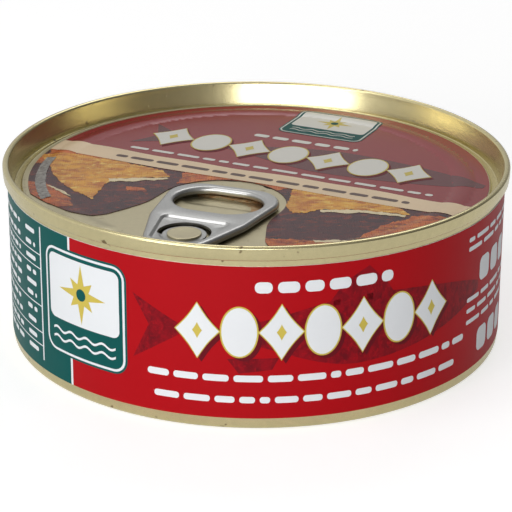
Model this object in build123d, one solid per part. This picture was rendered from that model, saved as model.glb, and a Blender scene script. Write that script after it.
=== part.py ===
from build123d import *
import math
import os

# Round ring-pull fish tin, millimetres, +Z up, origin at the middle of the base.
# Azimuth is measured from the front (-Y) towards +X.

# ---- can ----
body_radius = 50.1          # outside of the drawn wall
tin_height = 37.0           # base to the top of the seam
base_fillet = 1.1           # round corner where the wall meets the base
stand_ring_width = 3.4      # flat ring that the tin stands on
base_recess = 0.7           # base panel above the stand ring
base_step_width = 5.0       # outer step of the base panel
base_step = 0.45            # rise of the inner base panel above that step

# ---- lid: double seam, chuck wall, groove and panel ----
seam_overhang = 1.05        # outside of the seam beyond the wall
seam_height = 2.85
chuck_inset = 0.23          # top of the chuck wall inside the wall's outside
seam_crown = 0.55           # height of the rounded top of the seam
seam_lip = 0.45             # rounding of the lower edge of the seam
seam_draft = 0.12           # the lower edge of the seam's outer face leans in by this much
seam_bow = 0.04             # the upper edge leans in by this much
panel_depth = 4.55          # seam top down to the panel
chuck_lean = 0.9            # the chuck wall leans in by this much on its way down
groove_depth = 0.55         # groove below the panel
groove_width = 1.5
sheet = 0.24                # lid sheet
score_inset = 0.45          # score line inside the panel's edge
score_width = 0.16
score_depth = 0.08

# ---- bead and finger recess pressed into the panel ----
bead_inset = 5.47           # middle of the bead to the panel's edge
bead_width = 4.6
bead_rise = 0.3
bead_gap_angle = 46.0       # the bead stops either side of the ring pull
finger_length = 19.0
finger_width = 6.4
finger_depth = 0.42
finger_slope = 40.0

# ---- ring pull ----
tab_azimuth = -21.1
nose_inset = 1.17           # tip of the ring pull's nose to the panel's edge
rivet_head_radius = 3.28
rivet_head_thickness = 0.36
rivet_head_round = 0.14
rivet_shank_radius = 2.1
boss_radius = 3.9
boss_rise = 0.3
tab_clearance = 0.12        # panel to the underside of the ring pull
tab_thickness = 1.62
tab_nose = 8.9              # rivet to the tip of the nose
tab_reach = 25.6            # rivet to the far end of the ring
tab_nose_radius = 7.0
tab_waist_radius = 10.1     # sides swell to this between nose and ring
tab_width = 23.0
tab_corner_radius = 6.7
tab_curl = 0.74             # rounding of the rolled edges
tab_roll_width = 2.3
web_thickness = 0.5
hole_length = 17.9          # finger hole, across the ring pull
hole_width = 12.5
well_top = 6.7              # rivet to the far wall of the well
well_bottom = -5.6
well_half_width_far = 6.1
well_half_width_near = 5.3
well_depth = 0.58
well_slope = 42.0
well_corner = 1.4
slot_inner_radius = 4.2
slot_outer_radius = 5.3
slot_angle = 112.0          # half the angle of the C slot, about the ring side
island_thickness = 0.45

# ---- paper labels ----
paper = 0.15
label_bottom = 2.45
label_gap = 1.25            # wrap label's top edge to the lower edge of the seam
lap_angle = 7.0             # overlap of the wrap label at the back
lid_paper = 0.12
disc_inset = 0.87           # round lid label's edge to the panel's edge
disc_offset = (0.5, -0.2)   # it is stuck on slightly off centre
disc_azimuth = -25.4
key_bump_clearance = 1.3    # keyhole cut round the ring pull: its round end beyond the half width
key_bump_setback = 5.4      # middle of the round end, back from the far end of the ring
key_neck_clearance = 1.5
key_neck_inset = 23.1
key_foot_clearance = 6.5
key_foot_inset = 11.0
key_foot_round = 6.5
key_bend_round = 10.0
key_foot_run = 7.4          # then the cut climbs to the disc's edge
key_rise_angle = 25.0

# ---- worked out ----
seam_radius = body_radius + seam_overhang
seam_inner_radius = body_radius - chuck_inset
seam_bottom_z = tin_height - seam_height
label_top = seam_bottom_z - label_gap
panel_z = tin_height - panel_depth
groove_z = panel_z - groove_depth
chuck_foot_radius = seam_inner_radius - chuck_lean
panel_radius = chuck_foot_radius - groove_width
bead_radius = panel_radius - bead_inset
disc_radius = panel_radius - disc_inset
rivet_radius_from_centre = panel_radius - nose_inset - tab_nose
key_bump_radius = tab_width / 2 + key_bump_clearance
key_bump_centre = rivet_radius_from_centre - tab_reach + key_bump_setback
key_neck_half_width = tab_width / 2 + key_neck_clearance
key_foot_half_width = tab_width / 2 + key_foot_clearance
key_neck_end = disc_radius - key_neck_inset
key_foot = disc_radius - key_foot_inset
groove_round = groove_depth * 0.45   # rounds the groove's two feet and the panel's edge
tab_bottom_z = panel_z + tab_clearance
tab_top_z = tab_bottom_z + tab_thickness
island_bottom_z = panel_z + boss_rise
island_top_z = island_bottom_z + island_thickness
well_floor_z = tab_top_z - well_depth
hole_centre = tab_reach - tab_roll_width - hole_width / 2
finger_centre = hole_centre + 3.7
bead_arc_radius = ((bead_width / 2) ** 2 + bead_rise ** 2) / (2 * bead_rise)


def on_tab_axis(distance_from_rivet, z):
    """Place on the ring pull's axis; local +Y points from the rivet to the tin's centre."""
    azimuth = math.radians(tab_azimuth)
    reach = rivet_radius_from_centre - distance_from_rivet
    spot = (reach * math.sin(azimuth), -reach * math.cos(azimuth), z)
    return Location(spot, (0, 0, tab_azimuth))


def turned(edges):
    """Solid of revolution about Z from edges drawn in X (radius) and Y (height)."""
    return revolve(Plane.XZ * make_face(edges), Axis.Z)


def lid_underside():
    """Points of the lid's underside, from the axis out to the wall under the seam."""
    lean = chuck_lean / (tin_height - seam_crown - groove_z)
    wall_foot = chuck_foot_radius + sheet
    wall_at_seam = wall_foot + lean * (seam_bottom_z - groove_z)
    return [
        (0, panel_z - sheet - finger_depth),
        (panel_radius - sheet, panel_z - sheet - finger_depth),
        (panel_radius - sheet, groove_z - sheet),
        (wall_foot, groove_z - sheet),
        (wall_at_seam, seam_bottom_z),
    ]


def make_can_body():
    ring_out = body_radius - base_fillet
    ring_in = ring_out - stand_ring_width
    step_in = ring_in - base_step_width
    under = lid_underside()
    rim = (body_radius, seam_bottom_z)
    low = (body_radius, base_fillet)
    middle = base_fillet * (1 - math.sqrt(0.5))
    base_z = base_recess + base_step
    outline = [
        Polyline([*under, rim, low]),
        ThreePointArc(low, (body_radius - middle, middle), (ring_out, 0)),
        Polyline([(ring_out, 0), (ring_in, 0), (ring_in - base_recess, base_recess),
                  (step_in, base_recess), (step_in - base_step, base_z), (0, base_z), under[0]]),
    ]
    return turned(outline)


def seam_and_panel():
    under = lid_underside()
    crown_z = tin_height - seam_crown
    crown_mid = ((seam_inner_radius + seam_radius - seam_bow) / 2, tin_height)
    lip_r = seam_radius - seam_draft
    lip_z = seam_bottom_z + seam_lip
    turn = 1 - math.sqrt(0.5)
    foot_r = chuck_foot_radius - groove_round
    inner_r = panel_radius + groove_round
    score_mid = panel_radius - score_inset
    score_out = score_mid + score_width / 2
    score_in = score_mid - score_width / 2
    face_mid = (seam_radius, (crown_z + lip_z) / 2)
    crown_r = seam_radius - seam_bow
    outline = [
        Polyline([*under, (lip_r - seam_lip, seam_bottom_z)]),
        ThreePointArc((lip_r - seam_lip, seam_bottom_z),
                      (lip_r - seam_lip * turn, seam_bottom_z + seam_lip * turn), (lip_r, lip_z)),
        ThreePointArc((lip_r, lip_z), face_mid, (crown_r, crown_z)),
        ThreePointArc((crown_r, crown_z), crown_mid, (seam_inner_radius, crown_z)),
        Line((seam_inner_radius, crown_z), (chuck_foot_radius, groove_z + groove_round)),
        ThreePointArc((chuck_foot_radius, groove_z + groove_round),
                      (chuck_foot_radius - groove_round * turn, groove_z + groove_round * turn),
                      (foot_r, groove_z)),
        Line((foot_r, groove_z), (inner_r, groove_z)),
        ThreePointArc((inner_r, groove_z),
                      (panel_radius + groove_round * turn, groove_z + groove_round * turn),
                      (panel_radius, groove_z + groove_round)),
        Line((panel_radius, groove_z + groove_round), (panel_radius, panel_z - groove_round)),
        ThreePointArc((panel_radius, panel_z - groove_round),
                      (panel_radius - groove_round * turn, panel_z - groove_round * turn),
                      (panel_radius - groove_round, panel_z)),
        Polyline([(panel_radius - groove_round, panel_z), (score_out, panel_z),
                  (score_mid, panel_z - score_depth), (score_in, panel_z), (0, panel_z), under[0]]),
    ]
    return turned(outline)


def bead(lift=0.0):
    """Low round ridge on the panel, left out across the ring pull, with rounded ends."""
    floor_z = panel_z + lift
    drop = bead_arc_radius - bead_rise
    segment = [
        ThreePointArc((bead_radius - bead_width / 2, 0), (bead_radius, bead_rise),
                      (bead_radius + bead_width / 2, 0)),
        Line((bead_radius + bead_width / 2, 0), (bead_radius - bead_width / 2, 0)),
    ]
    profile = Plane.XZ * make_face(segment)
    ridge = revolve(profile, Axis.Z, 360 - bead_gap_angle)
    start = -90 + tab_azimuth + bead_gap_angle / 2
    ridge = Pos(0, 0, floor_z) * Rot(0, 0, start) * ridge
    keep = Pos(0, 0, floor_z) * Cylinder(seam_radius, 4, align=(Align.CENTER, Align.CENTER, Align.MIN))
    for angle in (start, start - bead_gap_angle):
        spot = (bead_radius * math.cos(math.radians(angle)), bead_radius * math.sin(math.radians(angle)))
        cap = Pos(spot[0], spot[1], floor_z - drop) * Sphere(bead_arc_radius)
        ridge += cap & keep
    return ridge


def finger_recess():
    """Shallow well under the ring that lets a fingertip in."""
    slot = SlotCenterToCenter(finger_length - finger_width, finger_width)
    return on_tab_axis(finger_centre, panel_z) * extrude(slot, -finger_depth, taper=finger_slope)


def rivet():
    boss = Cylinder(boss_radius, boss_rise, align=(Align.CENTER, Align.CENTER, Align.MIN))
    boss = chamfer(boss.edges().group_by(Axis.Z)[-1], boss_rise * 0.6)
    shank_height = boss_rise + island_thickness
    shank = Cylinder(rivet_shank_radius, shank_height, align=(Align.CENTER, Align.CENTER, Align.MIN))
    head = Pos(0, 0, shank_height) * Cylinder(rivet_head_radius, rivet_head_thickness,
                                              align=(Align.CENTER, Align.CENTER, Align.MIN))
    head = fillet(head.edges().group_by(Axis.Z)[-1], rivet_head_round)
    return on_tab_axis(0, panel_z) * (boss + shank + head)


def make_lid_end():
    lid = seam_and_panel() - finger_recess()
    return lid + bead() + rivet()


def tab_outline():
    """Hull of the nose, the waist and the two far corners, in the ring pull's own plane."""
    corner_x = tab_width / 2 - tab_corner_radius
    corner_y = tab_reach - tab_corner_radius
    rounds = [
        Pos(0, tab_nose_radius - tab_nose) * CenterArc((0, 0), tab_nose_radius, 0, 360),
        Pos(0, tab_reach * 0.33) * CenterArc((0, 0), tab_waist_radius, 0, 360),
        Pos(corner_x, corner_y) * CenterArc((0, 0), tab_corner_radius, 0, 360),
        Pos(-corner_x, corner_y) * CenterArc((0, 0), tab_corner_radius, 0, 360),
    ]
    return make_hull([edge for ring in rounds for edge in ring.edges()])


def finger_hole():
    return Pos(0, hole_centre) * SlotCenterToCenter(hole_length - hole_width, hole_width)


def well():
    """Sunken area round the rivet, with sloping walls."""
    corners = Polyline(
        (-well_half_width_near, well_bottom), (well_half_width_near, well_bottom),
        (well_half_width_far, well_top), (-well_half_width_far, well_top), close=True)
    shape = make_face(corners)
    shape = fillet(shape.vertices(), well_corner)
    return Pos(0, 0, tab_top_z) * extrude(shape, -well_depth, taper=well_slope)


def c_slot():
    """C-shaped cut between the rivet's island and the well's floor, open at the nose."""
    outer = Circle(slot_outer_radius) - Circle(slot_inner_radius)
    side = 3 * slot_outer_radius
    edge_angle = math.radians(90 - slot_angle)
    bridge = make_face(Polyline(
        (0, 0), (side * math.cos(edge_angle), side * math.sin(edge_angle)),
        (side * math.cos(edge_angle), -side), (-side * math.cos(edge_angle), -side),
        (-side * math.cos(edge_angle), side * math.sin(edge_angle)), close=True))
    return Pos(0, 0, panel_z) * extrude(outer - bridge, tab_thickness)


def make_pull_tab():
    outline = tab_outline()
    blank = Pos(0, 0, tab_bottom_z) * extrude(outline - finger_hole(), tab_thickness)
    rims = blank.edges().filter_by(Axis.Z, reverse=True)
    tab = fillet(rims, tab_curl)
    tab -= well()
    web_bottom = well_floor_z - web_thickness
    hollow_top = web_bottom - tab_bottom_z
    inside = offset(outline, -tab_roll_width) - offset(finger_hole(), tab_roll_width)
    tab -= Pos(0, 0, tab_bottom_z) * extrude(inside, hollow_top)
    tab -= c_slot()
    above_island = Circle(slot_inner_radius + 0.01)
    tab -= Pos(0, 0, island_top_z) * extrude(above_island, tab_thickness)
    below = island_bottom_z - tab_bottom_z
    tab -= Pos(0, 0, tab_bottom_z) * extrude(Circle(slot_outer_radius), below)
    island = Pos(0, 0, island_bottom_z) * extrude(Circle(slot_inner_radius), island_thickness)
    tab += island
    tab -= Pos(0, 0, panel_z) * extrude(Circle(rivet_shank_radius), tab_thickness)
    return on_tab_axis(0, 0) * tab


def make_body_label():
    tall = label_top - label_bottom
    outer = Circle(body_radius + paper) - Circle(body_radius)
    label = extrude(outer, tall)
    lap_ring = Circle(body_radius + 2 * paper) - Circle(body_radius + paper)
    reach = 2 * body_radius
    half = math.radians(lap_angle / 2)
    wedge = make_face(Polyline(
        (0, 0), (reach * math.sin(half), reach), (-reach * math.sin(half), reach), close=True))
    label += extrude(lap_ring & wedge, tall)
    return Pos(0, 0, label_bottom) * label


def keyhole():
    """Neck and flared foot of the cut, along -Y, running out past the disc's edge."""
    beyond = 1.5 * disc_radius
    rise_start = key_foot_half_width + key_foot_run
    climb = (beyond - rise_start) * math.tan(math.radians(key_rise_angle))
    right = [
        (key_bump_radius, -key_bump_centre),
        (key_neck_half_width, -key_neck_end),
        (key_foot_half_width, -key_foot),
        (rise_start, -key_foot),
        (beyond, climb - key_foot),
    ]
    left = [(-x, y) for x, y in reversed(right)]
    bends = [key_bend_round, key_foot_round, key_bend_round]
    edges = [
        *FilletPolyline(*right, radius=bends).edges(),
        *Polyline(right[-1], (beyond, -beyond), (-beyond, -beyond), left[0]).edges(),
        *FilletPolyline(*left, radius=bends).edges(),
        Line(left[-1], right[0]),
    ]
    return make_face(edges)


def disc_outline():
    """Round lid label less its keyhole cut."""
    bump = Pos(0, -key_bump_centre) * Circle(key_bump_radius)
    return Circle(disc_radius) - bump - keyhole()


def make_lid_label():
    """Paper disc that follows the bead beneath it."""
    outline = Pos(*disc_offset) * Rot(0, 0, disc_azimuth) * disc_outline()
    column = Pos(0, 0, groove_z) * extrude(outline, panel_depth)
    sheet_disc = Cylinder(seam_radius, lid_paper, align=(Align.CENTER, Align.CENTER, Align.MIN))
    paper_sheet = Pos(0, 0, panel_z) * sheet_disc + bead(lid_paper) - bead()
    return paper_sheet & column


def main():
    os.makedirs("parts", exist_ok=True)
    makers = {
        "can_body": make_can_body,
        "lid_end": make_lid_end,
        "pull_tab": make_pull_tab,
        "body_label": make_body_label,
        "lid_label": make_lid_label,
    }
    for name, make in makers.items():
        export_step(make(), f"parts/{name}.step")


main()
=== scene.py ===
import bpy
import bmesh
import math
import random
from mathutils import Matrix, Vector
from mathutils.geometry import delaunay_2d_cdt


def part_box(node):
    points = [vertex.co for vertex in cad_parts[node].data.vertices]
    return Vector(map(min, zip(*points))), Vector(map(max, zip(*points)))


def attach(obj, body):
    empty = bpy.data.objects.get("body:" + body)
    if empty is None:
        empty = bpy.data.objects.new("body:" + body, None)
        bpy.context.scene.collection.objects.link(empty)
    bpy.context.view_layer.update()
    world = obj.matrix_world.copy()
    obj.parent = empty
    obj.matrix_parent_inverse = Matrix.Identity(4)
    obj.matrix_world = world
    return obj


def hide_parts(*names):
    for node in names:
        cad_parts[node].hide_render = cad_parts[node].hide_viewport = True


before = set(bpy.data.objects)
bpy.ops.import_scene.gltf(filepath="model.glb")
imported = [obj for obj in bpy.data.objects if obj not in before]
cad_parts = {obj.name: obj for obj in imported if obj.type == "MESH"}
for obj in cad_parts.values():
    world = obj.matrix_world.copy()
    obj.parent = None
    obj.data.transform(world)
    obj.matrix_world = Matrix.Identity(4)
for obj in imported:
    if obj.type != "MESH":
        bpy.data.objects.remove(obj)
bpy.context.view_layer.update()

mm = 0.001


def nodeBox(node):
    low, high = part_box(node)
    return [c / mm for c in low], [c / mm for c in high]


# Places are in millimetres, +Z up; azimuth is measured from the front (-Y) towards +X.
wallBox = nodeBox("can_body")
lidBox = nodeBox("lid_end")
tabBox = nodeBox("pull_tab")
wrapBox = nodeBox("body_label")
discBox = nodeBox("lid_label")
facets = 240                   # round the tin, shared by the wall and every print layer


def makeObject(name, verts, faces, material, node, normals=None):
    mesh = bpy.data.meshes.new(name)
    mesh.from_pydata([[c * mm for c in v] for v in verts], [], faces)
    mesh.materials.append(material)
    mesh.shade_smooth()
    if normals:
        mesh.normals_split_custom_set_from_vertices(normals)
    piece = bpy.data.objects.new(name, mesh)
    bpy.context.scene.collection.objects.link(piece)
    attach(piece, "root")
    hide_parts(node)
    return piece


def polar(radius, degrees):
    a = math.radians(degrees)
    return radius * math.cos(a), radius * math.sin(a)


def arcPoints(cx, cy, radius, start, end, count):
    spots = [polar(radius, start + (end - start) * i / count) for i in range(count + 1)]
    return [(cx + x, cy + y) for x, y in spots]


def lathe(profile, count):
    # profile runs as (radius, z); a radius of nought closes into one point
    verts, faces, rings = [], [], []
    for radius, z in profile:
        if radius < 1e-6:
            rings.append([len(verts)] * count)
            verts.append((0, 0, z))
            continue
        rings.append(list(range(len(verts), len(verts) + count)))
        for k in range(count):
            x, y = polar(radius, 360 * k / count - 90)
            verts.append((x, y, z))
    for low, high in zip(rings, rings[1:]):
        for k in range(count):
            n = (k + 1) % count
            face = list(dict.fromkeys([low[k], low[n], high[n], high[k]]))
            if len(face) > 2:
                faces.append(face)
    return verts, faces


def editMesh(piece, work):
    bm = bmesh.new()
    bm.from_mesh(piece.data)
    work(bm)
    bm.to_mesh(piece.data)
    bm.free()


def splitSharp(piece, degrees):
    # rounded stretches stay smooth and true corners crisp
    def mark(bm):
        for edge in bm.edges:
            edge.smooth = len(edge.link_faces) != 2 or edge.calc_face_angle(0) < math.radians(degrees)
    editMesh(piece, mark)


def inLoop(loop, x, y):
    inside = False
    x0, y0 = loop[-1]
    for x1, y1 in loop:
        if (y0 > y) != (y1 > y) and x < (x1 - x0) * (y - y0) / (y1 - y0) + x0:
            inside = not inside
        x0, y0 = x1, y1
    return inside


def flatRegion(outers, holes=(), cuts=(0, 0), within=None):
    # flat faces inside any outer loop, outside the holes and inside the clipping loop,
    # cut along x and y lines so that the sheet can be bent afterwards
    verts, edges = [], []
    for loop in [*outers, *holes, *([within] if within else [])]:
        first = len(verts)
        verts.extend(Vector(p) for p in loop)
        edges.extend((first + i, first + (i + 1) % len(loop)) for i in range(len(loop)))
    flat, _, faces, *_ = delaunay_2d_cdt(verts, edges, [], 0, 1e-6)
    bm = bmesh.new()
    made = [bm.verts.new((v.x, v.y, 0)) for v in flat]
    for face in faces:
        x = sum(flat[i].x for i in face) / len(face)
        y = sum(flat[i].y for i in face) / len(face)
        kept = any(inLoop(loop, x, y) for loop in outers) and (not within or inLoop(within, x, y))
        if kept and not any(inLoop(loop, x, y) for loop in holes):
            bm.faces.new([made[i] for i in face])
    bmesh.ops.delete(bm, geom=[v for v in bm.verts if not v.link_faces], context="VERTS")
    spans = [[v.co[axis] for v in bm.verts] for axis in (0, 1)]
    for axis, step in enumerate(cuts):
        if not step:
            continue
        for k in range(math.floor(min(spans[axis]) / step) + 1, math.ceil(max(spans[axis]) / step)):
            spot, way = [0, 0, 0], [0, 0, 0]
            spot[axis] = k * step
            way[axis] = 1
            bmesh.ops.bisect_plane(bm, geom=bm.verts[:] + bm.edges[:] + bm.faces[:], dist=1e-6,
                                   plane_co=spot, plane_no=way)
    bm.normal_update()
    bmesh.ops.reverse_faces(bm, faces=[f for f in bm.faces if f.normal.z < 0])
    bm.verts.index_update()
    points = [(v.co.x, v.co.y) for v in bm.verts]
    polys = [[v.index for v in f.verts] for f in bm.faces]
    bm.free()
    return points, polys


def rimLoops(points, polys):
    # closed outlines round a set of flat faces
    edges = {(a, b) for poly in polys for a, b in zip(poly, poly[1:] + poly[:1])}
    follow = {a: b for a, b in sorted(edges) if (b, a) not in edges}
    loops = []
    while follow:
        a, b = follow.popitem()
        loop = [points[a]]
        while b in follow:
            loop.append(points[b])
            b = follow.pop(b)
        loops.append(loop)
    return loops


def smooth(x):
    x = min(1.0, max(0.0, x))
    return x * x * (3 - 2 * x)


# Shader groups

def newGroup(name, inputs, outputs):
    group = bpy.data.node_groups.new(name, "ShaderNodeTree")
    for label, value in inputs.items():
        kind = "NodeSocketColor" if isinstance(value, tuple) else "NodeSocketFloat"
        socket = group.interface.new_socket(label, in_out="INPUT", socket_type=kind)
        socket.default_value = value
    for label, kind in outputs.items():
        group.interface.new_socket(label, in_out="OUTPUT", socket_type="NodeSocket" + kind)
    return group, group.nodes.new("NodeGroupInput"), group.nodes.new("NodeGroupOutput")


def addMath(group, kind, first, second):
    node = group.nodes.new("ShaderNodeMath")
    node.operation = kind
    for socket, value in zip(node.inputs, (first, second)):
        if isinstance(value, (int, float)):
            socket.default_value = value
        else:
            group.links.new(value, socket)
    return node.outputs[0]


def addNoise(group, vector, scale, detail=4.0, rough=0.6, distortion=0.0):
    noise = group.nodes.new("ShaderNodeTexNoise")
    noise.inputs["Detail"].default_value = detail
    noise.inputs["Roughness"].default_value = rough
    noise.inputs["Distortion"].default_value = distortion
    group.links.new(vector, noise.inputs["Vector"])
    if isinstance(scale, (int, float)):
        noise.inputs["Scale"].default_value = scale
    else:
        group.links.new(scale, noise.inputs["Scale"])
    return noise.outputs["Fac"]


def addStretch(group, vector, scale, turn):
    place = group.nodes.new("ShaderNodeMapping")
    place.inputs["Scale"].default_value = scale
    place.inputs["Rotation"].default_value = (0, 0, math.radians(turn))
    group.links.new(vector, place.inputs["Vector"])
    return place.outputs["Vector"]


def addRange(group, value, low, high):
    node = group.nodes.new("ShaderNodeMapRange")
    node.inputs["From Min"].default_value = low
    node.inputs["From Max"].default_value = high
    group.links.new(value, node.inputs["Value"])
    return node.outputs["Result"]


def addMix(group, factor, first, second):
    node = group.nodes.new("ShaderNodeMix")
    node.data_type = "RGBA"
    for socket, value in ((node.inputs[0], factor), (node.inputs[6], first), (node.inputs[7], second)):
        group.links.new(value, socket)
    return node.outputs[2]


def makeWearGroup():
    # slow drift of tone, fine grain, stretched scratches and small dark flecks
    group, into, out = newGroup(
        "surfaceWear",
        {"Tone": (0.5, 0.5, 0.5, 1), "Drift": 0.1, "Grain": 0.2, "Grain Size": 900.0, "Roughness": 0.3,
         "Scratch": 0.1, "Fleck Tone": (0.1, 0.05, 0.02, 1), "Flecks": 0.0},
        {"Color": "Color", "Roughness": "Float", "Height": "Float"})
    place = group.nodes.new("ShaderNodeTexCoord").outputs["Object"]
    values = into.outputs

    def centred(fac, amount):
        return addMath(group, "MULTIPLY", addMath(group, "SUBTRACT", fac, 0.5), amount)

    slow = centred(addNoise(group, place, 60), values["Drift"])
    fine = centred(addNoise(group, place, values["Grain Size"], 2.0), values["Grain"])
    both = addMath(group, "ADD", slow, fine)
    tint = group.nodes.new("ShaderNodeVectorMath")
    tint.operation = "SCALE"
    group.links.new(values["Tone"], tint.inputs[0])
    group.links.new(addMath(group, "ADD", both, 1.0), tint.inputs["Scale"])
    spots = addRange(group, addNoise(group, place, 420, 2.0, 0.5), 0.70, 0.75)
    flecked = addMix(group, addMath(group, "MULTIPLY", spots, values["Flecks"]),
                     tint.outputs["Vector"], values["Fleck Tone"])
    streaks = addNoise(group, addStretch(group, place, (2600, 120, 400), 34), 1.0, 3.0)
    rough = addMath(group, "ADD", values["Roughness"], centred(streaks, values["Scratch"]))
    group.links.new(flecked, out.inputs["Color"])
    group.links.new(rough, out.inputs["Roughness"])
    group.links.new(both, out.inputs["Height"])
    return group


def makeMottleGroup():
    # three tones laid over each other in torn, streaky patches
    group, into, out = newGroup(
        "printMottle",
        {"Dark": (0.1, 0.02, 0.02, 1), "Middle": (0.5, 0.2, 0.05, 1), "Light": (0.8, 0.6, 0.2, 1),
         "Size": 300.0},
        {"Color": "Color"})
    place = group.nodes.new("ShaderNodeTexCoord").outputs["Object"]
    values = into.outputs
    drawn = addStretch(group, place, (1.0, 2.4, 1.0), 25)
    broad = addRange(group, addNoise(group, drawn, values["Size"], 5.0, 0.62, 0.5), 0.36, 0.58)
    doubled = addMath(group, "MULTIPLY", values["Size"], 1.9)
    torn = addRange(group, addNoise(group, drawn, doubled, 6.0, 0.7, 0.9), 0.52, 0.68)
    under = addMix(group, broad, values["Dark"], values["Middle"])
    group.links.new(addMix(group, torn, under, values["Light"]), out.inputs["Color"])
    return group


wearGroup = makeWearGroup()
mottleGroup = makeMottleGroup()


def placeGroup(tree, group, values):
    node = tree.nodes.new("ShaderNodeGroup")
    node.node_tree = group
    for label, value in values.items():
        node.inputs[label].default_value = (*value, 1) if isinstance(value, tuple) else value
    return node


def makePaint(name, tone, metallic=0.0, roughness=0.3, drift=0.1, grain=0.1, size=900, bump=0.0,
              specular=0.5, flecks=0.0, mottle=None):
    material = bpy.data.materials.new(name)
    material.use_nodes = True
    tree = material.node_tree
    shader = tree.nodes["Principled BSDF"]
    wear = placeGroup(tree, wearGroup, {
        "Tone": tone, "Drift": drift, "Grain": grain, "Grain Size": size, "Roughness": roughness,
        "Flecks": flecks})
    if mottle:
        dark, light, patch = mottle
        tones = {"Dark": dark, "Middle": tone, "Light": light, "Size": patch}
        patches = placeGroup(tree, mottleGroup, tones)
        tree.links.new(patches.outputs["Color"], wear.inputs["Tone"])
    tree.links.new(wear.outputs["Color"], shader.inputs["Base Color"])
    tree.links.new(wear.outputs["Roughness"], shader.inputs["Roughness"])
    shader.inputs["Metallic"].default_value = metallic
    shader.inputs["Specular IOR Level"].default_value = specular
    if bump:
        relief = tree.nodes.new("ShaderNodeBump")
        relief.inputs["Strength"].default_value = bump
        relief.inputs["Distance"].default_value = 0.00004
        tree.links.new(wear.outputs["Height"], relief.inputs["Height"])
        tree.links.new(relief.outputs["Normal"], shader.inputs["Normal"])
    return material


finishes = {
    "gold": dict(tone=(0.60, 0.53, 0.30), metallic=1.0, roughness=0.25, drift=0.22, grain=0.16, bump=0.25,
                 flecks=0.75),
    "panelGold": dict(tone=(0.46, 0.41, 0.27), metallic=1.0, roughness=0.36, drift=0.14, grain=0.16,
                      bump=0.3, flecks=0.3),
    "silver": dict(tone=(0.42, 0.42, 0.41), metallic=1.0, roughness=0.32, drift=0.06, grain=0.34,
                   size=2600, bump=0.6),
    "red": dict(tone=(0.39, 0.002, 0.006), roughness=0.42, drift=0.08, grain=0.05, specular=0.12),
    "green": dict(tone=(0.004, 0.082, 0.076), roughness=0.42, drift=0.08, grain=0.05, specular=0.08),
    "white": dict(tone=(0.74, 0.76, 0.78), roughness=0.4, drift=0.04, grain=0.03),
    "inkGold": dict(tone=(0.56, 0.44, 0.06), roughness=0.35, drift=0.1, grain=0.08),
    "plum": dict(tone=(0.24, 0.003, 0.009), roughness=0.40, drift=0.3, grain=0.1, specular=0.12,
                 mottle=((0.13, 0.003, 0.008), (0.34, 0.004, 0.010), 420.0)),
    "shadow": dict(tone=(0.12, 0.004, 0.010), roughness=0.42, drift=0.1, grain=0.05, specular=0.12),
    "cream": dict(tone=(0.74, 0.56, 0.36), roughness=0.34, drift=0.25, grain=0.05),
    "lidRed": dict(tone=(0.25, 0.006, 0.010), roughness=0.24, drift=0.08, grain=0.05),
    "lidPlum": dict(tone=(0.10, 0.005, 0.010), roughness=0.24, drift=0.4, grain=0.1),
    "lidWhite": dict(tone=(0.68, 0.66, 0.60), roughness=0.3, drift=0.05, grain=0.04),
    "sauce": dict(tone=(0.075, 0.016, 0.020), roughness=0.28, drift=0.3, grain=0.2, specular=0.3,
                  mottle=((0.030, 0.010, 0.016), (0.26, 0.04, 0.016), 170.0)),
    "fillet": dict(tone=(0.72, 0.34, 0.035), roughness=0.28, drift=0.3, grain=0.3, specular=0.32,
                   mottle=((0.42, 0.10, 0.015), (0.88, 0.62, 0.15), 210.0)),
    "glaze": dict(tone=(0.56, 0.12, 0.018), roughness=0.28, drift=0.3, grain=0.3, specular=0.32,
                  mottle=((0.18, 0.018, 0.010), (0.78, 0.32, 0.05), 260.0)),
    "glint": dict(tone=(0.74, 0.62, 0.38), roughness=0.3, drift=0.3, grain=0.4),
    "ribbon": dict(tone=(0.27, 0.25, 0.23), roughness=0.36, drift=0.2, grain=0.5, size=1800,
                   mottle=((0.10, 0.08, 0.07), (0.66, 0.64, 0.58), 800.0)),
    "brownInk": dict(tone=(0.07, 0.03, 0.02), roughness=0.4, drift=0.1, grain=0.1),
    # the lid label's cut edge, painted dark as the shadow along it
    "paperEdge": dict(tone=(0.12, 0.075, 0.055), roughness=0.7, drift=0.2, grain=0.3),
    # painted shadow beside the lid label's lifted cut
    "gapShade": dict(tone=(0.03, 0.02, 0.015), roughness=0.8, drift=0.2, grain=0.3, specular=0.1),
    "rust": dict(tone=(0.34, 0.20, 0.09), metallic=0.85, roughness=0.42, drift=0.3, grain=0.4,
                 mottle=((0.42, 0.34, 0.20), (0.40, 0.13, 0.03), 900.0)),
}
paint = {name: makePaint(name, **values) for name, values in finishes.items()}
print("materials made:", len(paint))


# Drawn can

can = {
    "radius": wallBox[1][0],
    "top": wallBox[1][2],
    "baseFillet": 1.1,
    "standWidth": 3.4,
    "baseRecess": 0.7,
    "baseStep": 0.45,
    "baseStepWidth": 5.0,
}


def makeCan():
    out, f, recess = can["radius"], can["baseFillet"], can["baseRecess"]
    ringIn = out - f - can["standWidth"]
    stepIn = ringIn - can["baseStepWidth"]
    baseZ = recess + can["baseStep"]
    profile = [(0, baseZ), (stepIn - 1.0, baseZ), (stepIn - 0.4, baseZ - 0.03), (stepIn, recess + 0.02),
               (stepIn + 0.4, recess), (ringIn - 1.0, recess), (ringIn - 0.5, 0.55), (ringIn - 0.2, 0.12),
               (ringIn + 0.1, 0.0)]
    profile += arcPoints(out - f, f, f, -90, 0, 8)
    profile += [(out, can["top"] * t) for t in (0.25, 0.5, 0.75)]
    profile += [(out, can["top"] + 0.05), (out - 0.7, can["top"] + 0.05)]
    verts, faces = lathe(profile, facets)
    piece = makeObject("canWall", verts, faces, paint["gold"], "can_body")
    splitSharp(piece, 50)


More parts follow.
